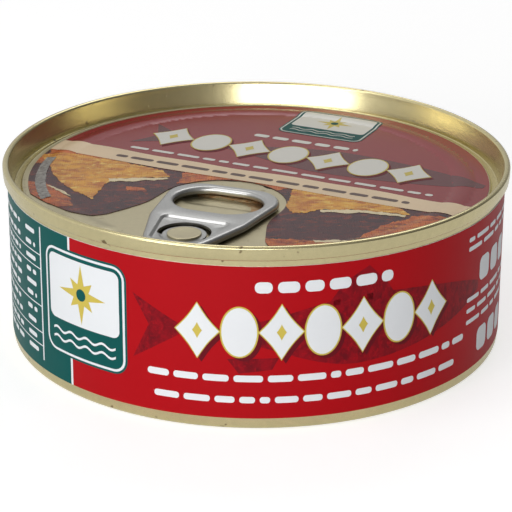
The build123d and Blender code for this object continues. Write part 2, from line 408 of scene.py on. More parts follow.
# Lid: seam, chuck wall and groove are turned, the panel carries its relief on a grid

seam = {
    "radius": lidBox[1][0],
    "top": lidBox[1][2],
    "inner": can["radius"] - 0.23,
    "crown": 0.55,
    "lip": 0.45,
    "draft": 0.12,
    "bow": 0.04,
}
panel = {
    "z": discBox[0][2],
    "grooveDepth": 0.55,
    "chuckLean": 0.9,
    "grooveWidth": 1.5,
    "scoreInset": 0.2,
    "grid": 0.7,               # spacing of the grid
    "beadInset": 5.47,
    "beadWidth": 4.6,
    "beadRise": 0.3,
    "beadGap": 46.0,
    "fingerLength": 19.0,
    "fingerWidth": 6.4,
    "fingerDepth": 0.42,
    "fingerSlope": 1.1,
    "fingerBeyond": 3.7,       # finger recess beyond the middle of the ring's hole
}
panel["foot"] = seam["inner"] - panel["chuckLean"]
panel["radius"] = panel["foot"] - panel["grooveWidth"]
beadArc = ((panel["beadWidth"] / 2) ** 2 + panel["beadRise"] ** 2) / (2 * panel["beadRise"])
pull = {
    "azimuth": -21.1,
    "bottom": tabBox[0][2],
    "top": tabBox[1][2],
    "noseInset": 1.17,         # tip of the nose to the panel's edge
    "nose": 8.9,
    "reach": 25.6,
    "noseRadius": 7.0,
    "waistRadius": 10.1,
    "width": 23.0,
    "cornerRadius": 6.7,
    "roll": 2.3,
    "curl": 0.78,
    "web": 0.5,
    "holeLength": 17.9,
    "holeWidth": 12.5,
    "wellDepth": 0.58,
    "wellCorner": 1.5,
    "wellCorners": [(3.7, -4.5), (-3.7, -4.5), (5.6, 5.1), (-5.6, 5.1)],
    "slotInner": 4.2,
    "slotOuter": 5.15,
    "slotAngle": 112,          # half the angle of the C slot, about the ring side
    "islandRise": 0.3,
    "islandThickness": 0.45,
    "rivetRadius": 3.28,
    "rivetHead": 0.36,
    "rivetShank": 2.1,
    "bossRadius": 3.9,
}
pull["rivetReach"] = panel["radius"] - pull["noseInset"] - pull["nose"]
holeCentre = pull["reach"] - pull["roll"] - pull["holeWidth"] / 2


def tabPoint(u, v):
    # u across the ring pull and v along it, from the rivet towards the tin's centre
    a = math.radians(pull["azimuth"])
    x, y = u, v - pull["rivetReach"]
    return x * math.cos(a) - y * math.sin(a), x * math.sin(a) + y * math.cos(a)


def tabFrame(x, y):
    a = math.radians(pull["azimuth"])
    return x * math.cos(a) + y * math.sin(a), -x * math.sin(a) + y * math.cos(a) + pull["rivetReach"]


def beadHeight(x, y):
    azimuth = math.degrees(math.atan2(x, -y)) - pull["azimuth"]
    azimuth = (azimuth + 180) % 360 - 180
    radius = math.hypot(x, y)
    away = abs(radius - panel["radius"] + panel["beadInset"])
    if abs(azimuth) < panel["beadGap"] / 2:
        past = math.radians(panel["beadGap"] / 2 - abs(azimuth)) * radius
        away = math.hypot(away, past)
    if away >= panel["beadWidth"] / 2:
        return 0.0
    return math.sqrt(beadArc ** 2 - away ** 2) - (beadArc - panel["beadRise"])


def fingerHeight(x, y):
    u, v = tabFrame(x, y)
    past = max(0.0, abs(u) - (panel["fingerLength"] - panel["fingerWidth"]) / 2)
    away = panel["fingerWidth"] / 2 - math.hypot(past, v - holeCentre - panel["fingerBeyond"])
    return -panel["fingerDepth"] * smooth(away / panel["fingerSlope"])


def panelHeight(x, y):
    return panel["z"] + beadHeight(x, y) + fingerHeight(x, y)


def reliefNormal(x, y):
    e = 0.05
    sx = (panelHeight(x + e, y) - panelHeight(x - e, y)) / (2 * e)
    sy = (panelHeight(x, y + e) - panelHeight(x, y - e)) / (2 * e)
    return Vector((-sx, -sy, 1)).normalized()


def makeLid():
    crown = seam["top"] - seam["crown"]
    low = can["top"]
    grooveZ = panel["z"] - panel["grooveDepth"]
    g = panel["grooveDepth"] * 0.45
    lipR = seam["radius"] - seam["draft"]
    lipZ = low + seam["lip"]
    middle = (seam["radius"] + seam["inner"]) / 2
    half = (seam["radius"] - seam["inner"]) / 2
    profile = [(can["radius"] - 0.4, low), (can["radius"] + 0.1, low)]
    profile += arcPoints(lipR - seam["lip"], lipZ, seam["lip"], -90, 0, 6)
    for t in (0.25, 0.5, 0.75, 1.0):
        face = lipR + (seam["draft"] - seam["bow"]) * t + 4 * t * (1 - t) * seam["bow"]
        profile.append((face, lipZ + (crown - lipZ) * t))
    for k in range(1, 15):
        x, y = polar(1, 180 * k / 14)
        profile.append((middle + half * x, crown + seam["crown"] * y))
    for t in (0.25, 0.5, 0.75):
        wall = seam["inner"] - panel["chuckLean"] * t
        profile.append((wall, crown + (grooveZ + g - crown) * t))
    profile += arcPoints(panel["foot"] - g, grooveZ + g, g, 0, -90, 5)
    profile += arcPoints(panel["radius"] + g, grooveZ + g, g, 270, 180, 5)
    profile += arcPoints(panel["radius"] - g, panel["z"] - g, g, 0, 90, 5)
    score = panel["radius"] - g - panel["scoreInset"]
    profile += [(score + 0.08, panel["z"]), (score, panel["z"] - 0.08), (score - 0.08, panel["z"])]
    verts, faces = lathe(profile, facets)
    rim = [v[:2] for v in verts[-facets:]]
    points, polys = flatRegion([rim], cuts=(panel["grid"], panel["grid"]))
    first = len(verts)
    verts += [(x, y, panelHeight(x, y)) for x, y in points]
    faces += [[first + i for i in poly] for poly in polys]
    piece = makeObject("lidEnd", verts, faces, paint["gold"], "lid_end")
    editMesh(piece, lambda bm: bmesh.ops.remove_doubles(bm, verts=bm.verts[:], dist=1e-6))
    piece.data.materials.append(paint["panelGold"])
    for poly in piece.data.polygons:
        poly.material_index = int(poly.center.xy.length < (panel["radius"] - 0.1) * mm)


def makeRivet():
    boss = panel["z"] + pull["islandRise"]
    island = boss + pull["islandThickness"]
    top = island + pull["rivetHead"]
    r = pull["rivetRadius"]
    profile = [(0, top - 0.04), (r * 0.6, top - 0.04), (r * 0.82, top)]
    profile += arcPoints(r - 0.14, top - 0.14, 0.14, 90, 0, 5)
    profile += [(r, island), (pull["rivetShank"], island), (pull["rivetShank"], boss),
                (pull["bossRadius"] - 0.18, boss), (pull["bossRadius"], boss - 0.18),
                (pull["bossRadius"], panel["z"] - 0.02)]
    verts, faces = lathe(profile, 72)
    verts = [(*tabPoint(x, y), z) for x, y, z in verts]
    faces = [face[::-1] for face in faces]
    piece = makeObject("rivet", verts, faces, paint["panelGold"], "lid_end")
    splitSharp(piece, 50)


# Ring pull

def hullOf(circles, count=96):
    # outline round a set of circles as (x, y, outward x, outward y)
    points = []
    for k in range(count):
        c, s = polar(1, 360 * k / count)
        x, y, r = max(circles, key=lambda q: q[0] * c + q[1] * s + q[2])
        points.append((x + r * c, y + r * s, c, s))
    return points


def grown(points, distance):
    return [(x + c * distance, y + s * distance) for x, y, c, s in points]


def tabOutline(inset):
    cx = pull["width"] / 2 - pull["cornerRadius"]
    cy = pull["reach"] - pull["cornerRadius"]
    circles = [(0, pull["noseRadius"] - pull["nose"], pull["noseRadius"]),
               (0, pull["reach"] * 0.33, pull["waistRadius"]),
               (cx, cy, pull["cornerRadius"]), (-cx, cy, pull["cornerRadius"])]
    return grown(hullOf(circles), -inset)


def holeOutline(grow):
    cx = (pull["holeLength"] - pull["holeWidth"]) / 2
    radius = pull["holeWidth"] / 2
    return grown(hullOf([(cx, holeCentre, radius), (-cx, holeCentre, radius)]), grow)


def wellOutline(inset):
    return grown(hullOf([(x, y, pull["wellCorner"]) for x, y in pull["wellCorners"]]), -inset)


def makeTab():
    verts, faces = [], []
    bottom, top, curl = pull["bottom"], pull["top"], pull["curl"]
    floor = top - pull["wellDepth"]
    web = floor - pull["web"]
    islandLow = panel["z"] + pull["islandRise"]
    islandTop = islandLow + pull["islandThickness"]
    outer, inner = pull["slotOuter"], pull["slotInner"]
    shank = pull["rivetShank"] + 0.02

    def addLoop(points, z):
        first = len(verts)
        verts.extend((x, y, z) for x, y in points)
        return list(range(first, len(verts)))

    def strip(steps, closed=True):
        # steps are (outline, height), joined one to the next
        loops = [addLoop(points, z) for points, z in steps]
        for low, high in zip(loops, loops[1:]):
            for k in range(len(low) if closed else len(low) - 1):
                n = (k + 1) % len(low)
                faces.append([low[k], low[n], high[n], high[k]])

    def fill(outers, holes, z):
        points, polys = flatRegion(outers, holes)
        first = len(verts)
        verts.extend((x, y, z) for x, y in points)
        faces.extend([first + i for i in poly] for poly in polys)

    # rolled edges outside and round the finger hole
    rolled = []
    for k in range(-9, 10):
        x, y = polar(curl, 10 * k)
        rolled.append((curl - x, (bottom + curl if k < 0 else top - curl) + y))
    strip([(tabOutline(inset), z) for inset, z in rolled])
    strip([(holeOutline(grow), z) for grow, z in rolled])
    fill([tabOutline(curl)], [holeOutline(curl), wellOutline(0)], top)

    # well with its sloping wall, and the C slot that frees the rivet's island
    edge = pull["slotAngle"]
    ring = [90 + edge - 2 * edge * k / 56 for k in range(57)]
    bridge = [90 - edge - (360 - 2 * edge) * k / 34 for k in range(35)]
    whole = ring[:-1] + bridge[:-1]

    def circle(radius, angles):
        return [polar(radius, a) for a in angles]

    slope = [(0.0, 0.0), (0.1, 0.04), (0.2, 0.14), (0.45, 0.76), (0.57, 0.93), (0.7, 1.0)]
    strip([(wellOutline(inset), top - pull["wellDepth"] * fall) for inset, fall in slope])
    fill([wellOutline(slope[-1][0])], [circle(outer, whole)], floor)
    # the underside is hollow between the rolled edges
    hollow = flatRegion([tabOutline(pull["roll"])], [holeOutline(pull["roll"]), circle(outer, whole)])
    recess = max(rimLoops(*hollow), key=lambda loop: max(u for u, v in loop))
    fill([recess], [circle(outer, whole)], web)
    strip([(recess, bottom), (recess, web)])
    fill([tabOutline(curl)], [holeOutline(curl), recess], bottom)
    strip([(circle(outer, ring), web), (circle(outer, ring), floor)], closed=False)
    strip([(circle(inner, ring), islandLow), (circle(inner, ring), islandTop)], closed=False)
    stops = (0, 0.25, 0.5, 0.75, 1)
    ramps = [[(outer + (inner - outer) * t, high + (low - high) * smooth(t)) for t in stops]
             for high, low in ((floor, islandTop), (web, islandLow))]
    for ramp in ramps:
        strip([(circle(radius, bridge), z) for radius, z in ramp], closed=False)
    for a in (ring[0], ring[-1]):          # the bridge's sides
        first = len(verts)
        verts.extend((*polar(radius, a), z) for ramp in ramps for radius, z in ramp)
        faces.extend([first + k, first + k + 1, first + k + 6, first + k + 5] for k in range(4))
    for z in (islandTop, islandLow):
        fill([circle(inner, whole)], [circle(shank, whole)], z)
    strip([(circle(shank, whole), islandLow), (circle(shank, whole), islandTop)])

    piece = makeObject("pullTab", [(*tabPoint(u, v), z) for u, v, z in verts], faces, paint["silver"],
                       "pull_tab")

    def close(bm):
        bmesh.ops.remove_doubles(bm, verts=bm.verts[:], dist=2e-6)
        bmesh.ops.recalc_face_normals(bm, faces=bm.faces[:])

    editMesh(piece, close)
    splitSharp(piece, 40)


# Print on the wrap label: x is the azimuth in degrees, y the height

labels = {
    "inkStep": 0.012,          # each print layer on the wrap stands this far above the one below
    "discInkStep": 0.02,
    "wrapRadius": wrapBox[1][0],
    "wrapLow": wrapBox[0][2],
    "wrapHigh": wrapBox[1][2],
    "wrapPaper": 0.15,
    "lapAngle": 7.0,
    "discPaper": 0.12,
    "discRadius": 46.6,
    "discOffset": (0.5, -0.2),
    "discAzimuth": -25.4,
}
degree = math.radians(1) * labels["wrapRadius"]      # arc length of one degree


def wrapPoint(degrees, z, level):
    x, y = polar(labels["wrapRadius"] + level * labels["inkStep"], degrees - 90)
    return x, y, z


def printWrap(name, outers, level, ink):
    points, polys = flatRegion(outers, cuts=(360 / facets, 0))
    verts = [wrapPoint(a, z, level) for a, z in points]
    normals = [Vector((*polar(1, a - 90), 0)) for a, z in points]
    return makeObject(name, verts, polys, paint[ink], "body_label", normals)


def rect(x0, y0, x1, y1):
    return [(x0, y0), (x1, y0), (x1, y1), (x0, y1)]


def roundRect(x0, y0, x1, y1, radius, squeeze=1.0, count=6):
    rx = radius * squeeze
    points = []
    for cx, cy, start in ((x1 - rx, y1 - radius, 0), (x0 + rx, y1 - radius, 90),
                          (x0 + rx, y0 + radius, 180), (x1 - rx, y0 + radius, 270)):
        curve = arcPoints(0, 0, radius, start, start + 90, count)
        points += [(cx + x * squeeze, cy + y) for x, y in curve]
    return points


def oval(x, y, halfWide, halfTall, count=40):
    return [(x + c * halfWide, y + s * halfTall) for c, s in arcPoints(0, 0, 1, 0, 360, count)[:-1]]


def lozenge(x, y, halfWide, halfTall, pinch=0.08, count=8):
    points = []
    for k in range(4):
        (x0, y0), (x1, y1) = polar(1, 90 * k), polar(1, 90 * k + 90)
        for i in range(count):
            t = i / count
            waist = 1 - pinch * math.sin(math.pi * t)
            across, up = x0 + (x1 - x0) * t, y0 + (y1 - y0) * t
            points.append((x + halfWide * waist * across, y + halfTall * waist * up))
    return points


def star(x, y, reach, waist, squeeze, tips=8):
    points = []
    for k in range(2 * tips):
        length = waist if k % 2 else reach * (1 if k % 4 == 0 else 0.66)
        c, s = polar(length, 180 * k / tips + 90)
        points.append((x + c * squeeze, y + s))
    return points


def fishOutline(tail, head, middle, back, belly, count=40):
    # plain fish in profile: tail on the left, blunt head on the right
    length = head - tail
    upper, lower = [], []
    for k in range(count + 1):
        t = k / count
        body = math.sin(math.pi * min(1, t * 0.9 + 0.08)) ** 0.75
        body *= 0.16 + 0.84 * smooth((t - 0.02) / 0.5)
        x = tail + length * (0.14 + 0.86 * t)
        upper.append((x, middle + back * body))
        lower.append((x, middle - belly * body))
    fork = [(tail, middle - belly * 0.95), (tail + length * 0.045, middle), (tail, middle + back * 0.95)]
    return fork + upper + lower[::-1]


def wordBars(start, end, y, tall, seed, squeeze=1.0, gap=1.0, word=(2.2, 6.5)):
    # rounded bars in place of a line of words
    pick = random.Random(seed)
    bars, x = [], start
    while x < end - 0.6:
        wide = min(pick.uniform(*word), end - x)
        bars.append(roundRect(x, y, x + wide, y + tall, tall * 0.42, squeeze, 3))
        x += wide + gap
    return bars


ornament = {
    "count": 7,
    "discWide": 0.42,          # half width as a share of the pitch
    "lozengeWide": 0.52,
    "discTall": 0.90,
    "edge": 0.3,
    "shadow": (0.8, -0.7),
    "shadowGrow": 0.25,
    "core": (0.12, 0.3),       # shares of the pitch and of the half height
}


def ornamentRow(first, last, middle, halfTall, squeeze, grow=0.0, dx=0.0, dy=0.0):
    # lozenges and discs by turns, as large as a title
    pitch = (last - first) / ornament["count"]
    loops = []
    for k in range(ornament["count"]):
        shape, wide, tall = ((oval, ornament["discWide"], ornament["discTall"]) if k % 2
                             else (lozenge, ornament["lozengeWide"], 1.0))
        loops.append(shape(first + pitch * (k + 0.5) + dx, middle + dy,
                           pitch * wide + grow * squeeze, halfTall * tall + grow))
    return loops


def printOrnament(printer, prefix, first, last, middle, halfTall, squeeze, level, white):
    row = (first, last, middle, halfTall, squeeze)
    dx, dy = ornament["shadow"]
    shade = ornamentRow(*row, ornament["shadowGrow"], dx * squeeze, dy)
    printer(prefix + "Shadow", shade, level, "shadow")
    printer(prefix + "Edge", ornamentRow(*row, ornament["edge"]), level + 1, "inkGold")
    printer(prefix + "Face", ornamentRow(*row), level + 2, white)
    pitch = (last - first) / ornament["count"]
    wide, tall = ornament["core"]
    cores = [lozenge(first + pitch * (k + 0.5), middle, pitch * wide, halfTall * tall)
             for k in range(0, ornament["count"], 2)]
    printer(prefix + "Cores", cores, level + 3, "inkGold")


badge = {                      # shares of the badge's height
    "corner": 0.14,
    "band": 0.33,
    "rim": 0.02,
    "inside": 0.042,
    "field": 0.075,
    "waves": (0.09, 0.17),
    "waveTall": 0.018,
    "waveThick": 0.022,
    "waveWide": 0.76,          # share of its width
    "star": (0.46, 0.36, 0.2)  # reach as a share of the field, waist and hub as shares of the reach
}


def printBadge(printer, prefix, x0, y0, x1, y1, squeeze, level, white):
    # rounded badge: compass star in a pale field above a band of waves
    tall = y1 - y0
    r = tall * badge["corner"]
    band = y0 + tall * badge["band"]
    layers = (("Edge", 0.0, "green"), ("Rim", badge["rim"], white), ("Band", badge["inside"], "green"))
    for k, (part, inset, ink) in enumerate(layers):
        e = tall * inset
        shape = roundRect(x0 + e * squeeze, y0 + e, x1 - e * squeeze, y1 - e, r - e, squeeze)
        printer(prefix + part, [shape], level + k, ink)
    e = tall * badge["field"]
    field = roundRect(x0 + e * squeeze, band, x1 - e * squeeze, y1 - e, r - e, squeeze)
    printer(prefix + "Field", [field], level + 3, white)
    x, y = (x0 + x1) / 2, (band + y1 - e) / 2
    share, waist, hub = badge["star"]
    reach = (y1 - e - band) * share
    printer(prefix + "Star", [star(x, y, reach, reach * waist, squeeze)], level + 4, "inkGold")
    printer(prefix + "Hub", [oval(x, y, reach * hub * squeeze, reach * hub)], level + 5, "green")
    waves = []
    wide = (x1 - x0) * badge["waveWide"]
    for drop in badge["waves"]:
        line = [(x - wide / 2 + wide * i / 40,
                 band - tall * drop + tall * badge["waveTall"] * math.sin(i * 0.63)) for i in range(41)]
        waves.append(line + [(px, py - tall * badge["waveThick"]) for px, py in reversed(line)])
    printer(prefix + "Waves", waves, level + 4, white)


wrapPrint = {
    "green": (-128, -44.6),                      # from, to
    "rule": (-44.7, -44.05),
    "fish": (-27, 59, 19.8, 6.2, 7.6),           # tail, head, middle, back, belly
    "fins": [[(15, 24.5), (19, 29.0), (24.5, 31.6), (29, 27.5), (31, 24.8)],
             [(-6, 14.5), (-3.5, 11.6), (3.5, 12.4), (5, 14.8)]],
    "ornament": (-16.8, 45.6, 19.9, 5.4),        # from, to, middle, half height
    "smallTitle": (-0.2, 30.3, 27.7, 2.2, 3),    # from, to, foot, height, seed
    "lineOne": (-23.5, 53.3, 9.9, 1.35, 5),
    "lineTwo": (-22, 51, 5.6, 1.3, 6),
    "badge": (-53.2, 8.0, -28.4, 30.3),
}


def makeWrap():
    low, high = labels["wrapLow"], labels["wrapHigh"]
    verts, faces, normals = [], [], []
    for k in range(facets):
        out = polar(1, 360 * k / facets - 90)
        for z in (low, high):
            verts.append(wrapPoint(360 * k / facets, z, 0))
            normals.append(Vector((*out, 0)))
    rims = len(verts)
    for k in range(facets):                # cut edges of the paper, down to the wall
        x, y = polar(can["radius"], 360 * k / facets - 90)
        for z in (low, high):
            verts.append((x, y, z))
            normals.append(Vector((0, 0, 1 if z == high else -1)))
    for k in range(facets):
        n = (k + 1) % facets
        faces.append([2 * k, 2 * n, 2 * n + 1, 2 * k + 1])
        faces.append([2 * k, rims + 2 * k, rims + 2 * n, 2 * n])
        faces.append([2 * k + 1, 2 * n + 1, rims + 2 * n + 1, rims + 2 * k + 1])
    piece = makeObject("wrapPaper", verts, faces, paint["red"], "body_label", normals)
    piece.data.materials.append(paint["white"])
    for poly in piece.data.polygons:
        poly.material_index = int(abs(poly.normal.z) > 0.5)

    squeeze = 1 / degree
    for name, part, level, ink in (("wrapGreen", "green", 1, "green"), ("wrapRule", "rule", 2, "white")):
        start, end = wrapPrint[part]
        printWrap(name, [rect(start, low, end, high)], level, ink)
    printWrap("wrapFish", [fishOutline(*wrapPrint["fish"])], 1, "plum")
    printWrap("wrapFins", wrapPrint["fins"], 1, "plum")
    printOrnament(printWrap, "ornament", *wrapPrint["ornament"], squeeze, 2, "white")
    printWrap("smallTitle", wordBars(*wrapPrint["smallTitle"], squeeze, 1.1, (3.0, 6.0)), 3, "white")
    for line in ("lineOne", "lineTwo"):
        printWrap(line, wordBars(*wrapPrint[line], squeeze), 3, "white")
    printBadge(printWrap, "badge", *wrapPrint["badge"], squeeze, 3, "white")
    makeSideBlock(squeeze)
    makeTable(squeeze)
    makeBackPrint(squeeze)
    makeLap()


sideBlock = {
    "span": (54, 80),
    "lines": (29.6, 27.7, 17.1, 14.8, 12.4),
    "lineTall": 0.9,
    "boxAt": [(x, z) for z in (20.0, 5.0) for x in (59.5, 66.0, 72.5)],
    "box": (5.4, 5.0, 1.4),    # width, height, corner
}


def makeSideBlock(squeeze):
    lines = []
    for z in sideBlock["lines"]:
        lines += wordBars(*sideBlock["span"], z, sideBlock["lineTall"], int(z * 10), squeeze)
    printWrap("sideLines", lines, 3, "white")
    wide, tall, corner = sideBlock["box"]
    boxes = [roundRect(x, z, x + wide, z + tall, corner, squeeze) for x, z in sideBlock["boxAt"]]
    printWrap("sideBoxes", boxes, 3, "white")


table = {
    "edge": (-55.4, 4.3, -54.9, 32.1),
    "ruleSpan": (-100, -55.2),
    "rules": (26.2, 23.3, 15.5, 9.9, 7.1),
    "ruleTall": 0.22,
    "words": (-96, -66),
    "amounts": (-62.5, -57.5),
    "lines": (29.9, 27.2, 24.3, 21.4, 19.0, 16.6, 13.6, 11.1, 8.0, 5.3),
    "lineTall": 0.95,
}


def makeTable(squeeze):
    # ruled table of short lines on the green field
    start, end = table["ruleSpan"]
    rules = [rect(*table["edge"])]
    rules += [rect(start, z, end, z + table["ruleTall"]) for z in table["rules"]]
    printWrap("tableRules", rules, 2, "white")
    lines = []
    for z in table["lines"]:
        seed = int(z * 10)
        lines += wordBars(*table["words"], z, table["lineTall"], seed, squeeze, 0.8, (1.6, 4.5))
        lines += wordBars(*table["amounts"], z, table["lineTall"], seed + 1, squeeze)
    printWrap("tableLines", lines, 2, "white")


backPrint = {
    "panel": (112, 6, 171, 30, 1.8),             # sides and corner
    "ornament": (187, 228, 21.5, 3.4),
    "lines": (116, 167, 26.4, 2.55, 8, 40),      # from, to, top line, pitch, count, seed
    "notes": (189, 226, 14.0, 2.3, 4, 60),
    "lineTall": 0.95,
}


def backBars(part, squeeze):
    start, end, top, pitch, count, seed = backPrint[part]
    bars = []
    for k in range(count):
        bars += wordBars(start, end, top - pitch * k, backPrint["lineTall"], seed + k, squeeze)
    return bars


def makeBackPrint(squeeze):
    # cream panel of lines before the label's overlap, an ornament and notes past it
    printWrap("backPanel", [roundRect(*backPrint["panel"], squeeze)], 1, "cream")
    printWrap("backLines", backBars("lines", squeeze), 2, "brownInk")
    printOrnament(printWrap, "backOrnament", *backPrint["ornament"], squeeze, 1, "white")
    printWrap("backNotes", backBars("notes", squeeze), 1, "white")


def makeLap():
    # the paper's end glued over its start, at the back
    low, high = labels["wrapLow"], labels["wrapHigh"]
    steps = 5
    verts = []
    for k in range(steps + 1):
        azimuth = 180 + labels["lapAngle"] * (k / steps - 0.5)
        for radius, z in ((0, low), (1, low), (1, high), (0, high)):
            level = radius * labels["wrapPaper"] / labels["inkStep"]
            verts.append(wrapPoint(azimuth, z, level + 0.2))
    faces = [[0, 3, 2, 1], [4 * steps, 4 * steps + 1, 4 * steps + 2, 4 * steps + 3]]
    for k in range(0, 4 * steps, 4):
        faces += [[k + i, k + i + 1, k + i + 5, k + i + 4] for i in range(3)]
    piece = makeObject("wrapLap", verts, faces, paint["red"], "body_label")
    splitSharp(piece, 40)


# Lid label, in its own axes: u along its lines of print and v up them

keyhole = {
    "bump": (0, -17.2, 12.8),
    "neck": [(12.86, -19.5), (12.94, -21.6), (13.15, -23.2), (13.6, -25.0), (14.9, -28.2), (16.1, -31.0)],
    "lobe": (22.35, -29.1, 6.5),
    "rise": [(27.5, -33.95), (30.5, -32.6), (33.2, -31.2)],
    "end": (36.0, -29.6),
}


def discPoint(u, v):
    c, s = polar(1, labels["discAzimuth"])
    return labels["discOffset"][0] + u * c - v * s, labels["discOffset"][1] + u * s + v * c


def discOutline():
    side = arcPoints(*keyhole["bump"], 90, 0, 24) + keyhole["neck"]
    side += arcPoints(*keyhole["lobe"], 200, 292, 14) + keyhole["rise"]
    last = math.degrees(math.atan2(keyhole["end"][1], keyhole["end"][0]))
    rim = arcPoints(0, 0, labels["discRadius"], last, 180 - last, 200)
    return side + rim + [(-u, v) for u, v in side[:0:-1]]


def resample(loop, step):
    points = []
    for (x0, y0), (x1, y1) in zip(loop, loop[1:] + loop[:1]):
        count = max(1, math.ceil(math.hypot(x1 - x0, y1 - y0) / step))
        points += [(x0 + (x1 - x0) * i / count, y0 + (y1 - y0) * i / count) for i in range(count)]
    return points


def ragged(loop, depth, seed, step=0.6):
    # torn edge: close points pushed in and out at random
    pick = random.Random(seed)
    slow = 0.0
    points = []
    for x, y in resample(loop, step):
        slow = slow * 0.7 + pick.uniform(-1, 1) * 0.5
        dx, dy = slow + pick.uniform(-0.4, 0.4), pick.uniform(-0.5, 0.5) - slow
        points.append((x + depth * dx, y + depth * dy))
    return points


def layOnPanel(name, outers, lift, ink, node, slot, within=None):
    # thin sheet that follows the panel's relief
    loops = [[discPoint(*p) for p in loop] for loop in outers]
    points, polys = flatRegion(loops, cuts=(panel["grid"], panel["grid"]), within=within)
    verts = [(x, y, panelHeight(x, y) + lift) for x, y in points]
    normals = [reliefNormal(x, y) for x, y in points]
    makeObject(name, verts, polys, paint[ink], node, normals)


def printDisc(name, outers, level, ink):
    edge = [discPoint(*p) for p in discOutline()]
    lift = labels["discPaper"] + level * labels["discInkStep"]
    layOnPanel(name, outers, lift, ink, "lid_label", "lid_label_red", edge)


def makeDiscEdge():
    # cut edge of the paper, down to the panel, painted dark as the shadow along the cut
    rim = [discPoint(*p) for p in resample(discOutline(), panel["grid"])]
    verts = [(x, y, panelHeight(x, y) + z) for z in (labels["discPaper"], -0.02) for x, y in rim]
    count = len(rim)
    faces = [[k, count + k, count + (k + 1) % count, (k + 1) % count] for k in range(count)]
    makeObject("discEdge", verts, faces, paint["paperEdge"], "lid_label")


picture = {
    "top": -4.3,
    "fillets": [
        [(-47, -8), (-40, -5), (-28, -5), (-19, -6), (-15.5, -9), (-20, -11.5), (-26, -15), (-25, -20),
         (-23.5, -27), (-30, -24), (-37, -19), (-41.5, -13)],
        [(9.5, -4), (20, -4), (33, -5), (36, -7.5), (30, -8.6), (25, -9.5), (20, -12), (15.5, -17),
         (12.5, -14)]],
    "glazes": [
        [(-14.5, -4), (8.5, -4), (6, -9), (-2, -6), (-9, -9.5), (-12.5, -12)],
        [(-43, -23), (-36, -23.5), (-27.5, -28.5), (-25, -32), (-30, -37), (-40, -32)],
        [(36.5, -8), (45, -5), (46, -14), (37, -22), (31, -24), (33.5, -16)],
        [(16, -31.5), (24, -28.5), (33, -24), (38, -28), (28, -36), (16, -36)],
        [(-46, -3), (-36, -3), (-27, -5.5), (-38, -8), (-45, -14)],
        [(-21, -17.5), (-17, -17), (-16, -18.6), (-20, -19.5)]],
    "glints": [
        [(-26.5, -15.2), (-20, -11.8), (-16, -9.2), (-15.4, -10.4), (-19.5, -13.2), (-25.6, -16.6)],
        [(19.5, -12.6), (26, -9.4), (35, -8), (35.4, -9.2), (26.6, -10.8), (20, -14)],
        [(24.6, -28.2), (29, -26), (31, -25.8), (29, -27.2), (25.4, -28.9)],
        [(-35.5, -24.6), (-31, -25.4), (-28, -27.4), (-31.5, -26.4)]],
}


discPrint = {
    "fish": (-34, 43.5, 13.8, 7.2, 6.8),
    "ornament": (-31.5, 31.5, 14.4, 5.9),
    "smallTitle": (-12, 12, 22.4, 1.7, 11),
    "line": (-32, 36, 3.9, 1.2, 12),
    "badge": (-9.2, 27.8, 10.2, 43.2),
    "creamTop": 1.8,
    "creamFoot": -4.6,
    "creamLine": (-32, 33.5, -2.4, 1.35, 14),
    "ribbon": (45.2, 43.1, 192, 224),            # radii and angles
}


def makeDisc():
    printDisc("discPaper", [discOutline()], 0, "lidRed")
    makeDiscEdge()
    printDisc("discFish", [fishOutline(*discPrint["fish"])], 1, "lidPlum")
    printOrnament(printDisc, "discOrnament", *discPrint["ornament"], 1.0, 2, "lidWhite")
    smallTitle = wordBars(*discPrint["smallTitle"], 1.0, 0.9, (2.4, 4.6))
    printDisc("discSmallTitle", smallTitle, 2, "lidWhite")
    printDisc("discLine", wordBars(*discPrint["line"], 1.0, 0.9), 2, "lidWhite")
    printBadge(printDisc, "discBadge", *discPrint["badge"], 1.0, 2, "lidWhite")
    printDisc("discPicture", [rect(-60, -60, 60, picture["top"])], 1, "sauce")
    for name, ink, level, depth in (("glazes", "glaze", 2, 0.5), ("fillets", "fillet", 3, 0.45),
                                    ("glints", "glint", 4, 0.35)):
        loops = [ragged(loop, depth, 20 * level + k) for k, loop in enumerate(picture[name])]
        printDisc("disc" + name.capitalize(), loops, level, ink)
    band = [(u, discPrint["creamTop"] + 0.35 * math.sin(u * 0.11) + 0.2 * math.sin(u * 0.31))
            for u in range(-50, 51, 2)]
    band += [(u, discPrint["creamFoot"] + 0.3 * math.sin(u * 0.13 + 1)) for u in range(50, -51, -2)]
    printDisc("discCream", [band], 5, "cream")
    printDisc("discCreamLine", wordBars(*discPrint["creamLine"], 1.0, 0.8), 6, "brownInk")
    outer, inner, start, end = discPrint["ribbon"]
    ribbon = arcPoints(0, 0, outer, start, end, 40) + arcPoints(0, 0, inner, end, start, 40)
    printDisc("discRibbon", [ragged(ribbon, 0.12, 9)], 6, "ribbon")


# Rust and painted shadow on the bare panel, in the lid label's axes

marks = {
    "lift": 0.03,
    "shadeInset": 0.02,
    "rust": [(-7, -14.2), (-3, -12.6), (2, -12.4), (6, -13.0), (8.6, -15.0), (8.8, -18.6), (7.0, -18.8),
             (6.2, -16.2), (3, -14.5), (-2, -14.3), (-6, -15.4)],
    # painted shadow beside lifted stretches of the label's cut: from, to, width
    "shades": [(62, 76, 0.5), (98, 116, 0.4), (148, 176, 0.25)],
}


def makeMarks():
    place = ("lid_end", "lid_gold")
    layOnPanel("fingerRust", [ragged(marks["rust"], 0.3, 31)], marks["lift"], "rust", *place)
    # dark crescents on the panel: painted shadow where the label's cut lifts off it
    cx, cy, radius = keyhole["bump"]
    radius -= marks["shadeInset"]
    loops = []
    for start, end, wide in marks["shades"]:
        loop = arcPoints(cx, cy, radius, start, end, 16)
        for k in range(15, 0, -1):
            x, y = polar(radius - wide * math.sin(math.pi * k / 16), start + (end - start) * k / 16)
            loop.append((cx + x, cy + y))
        loops.append(loop)
    layOnPanel("cutShade", loops, marks["lift"], "gapShade", *place)


# Floor, light and camera

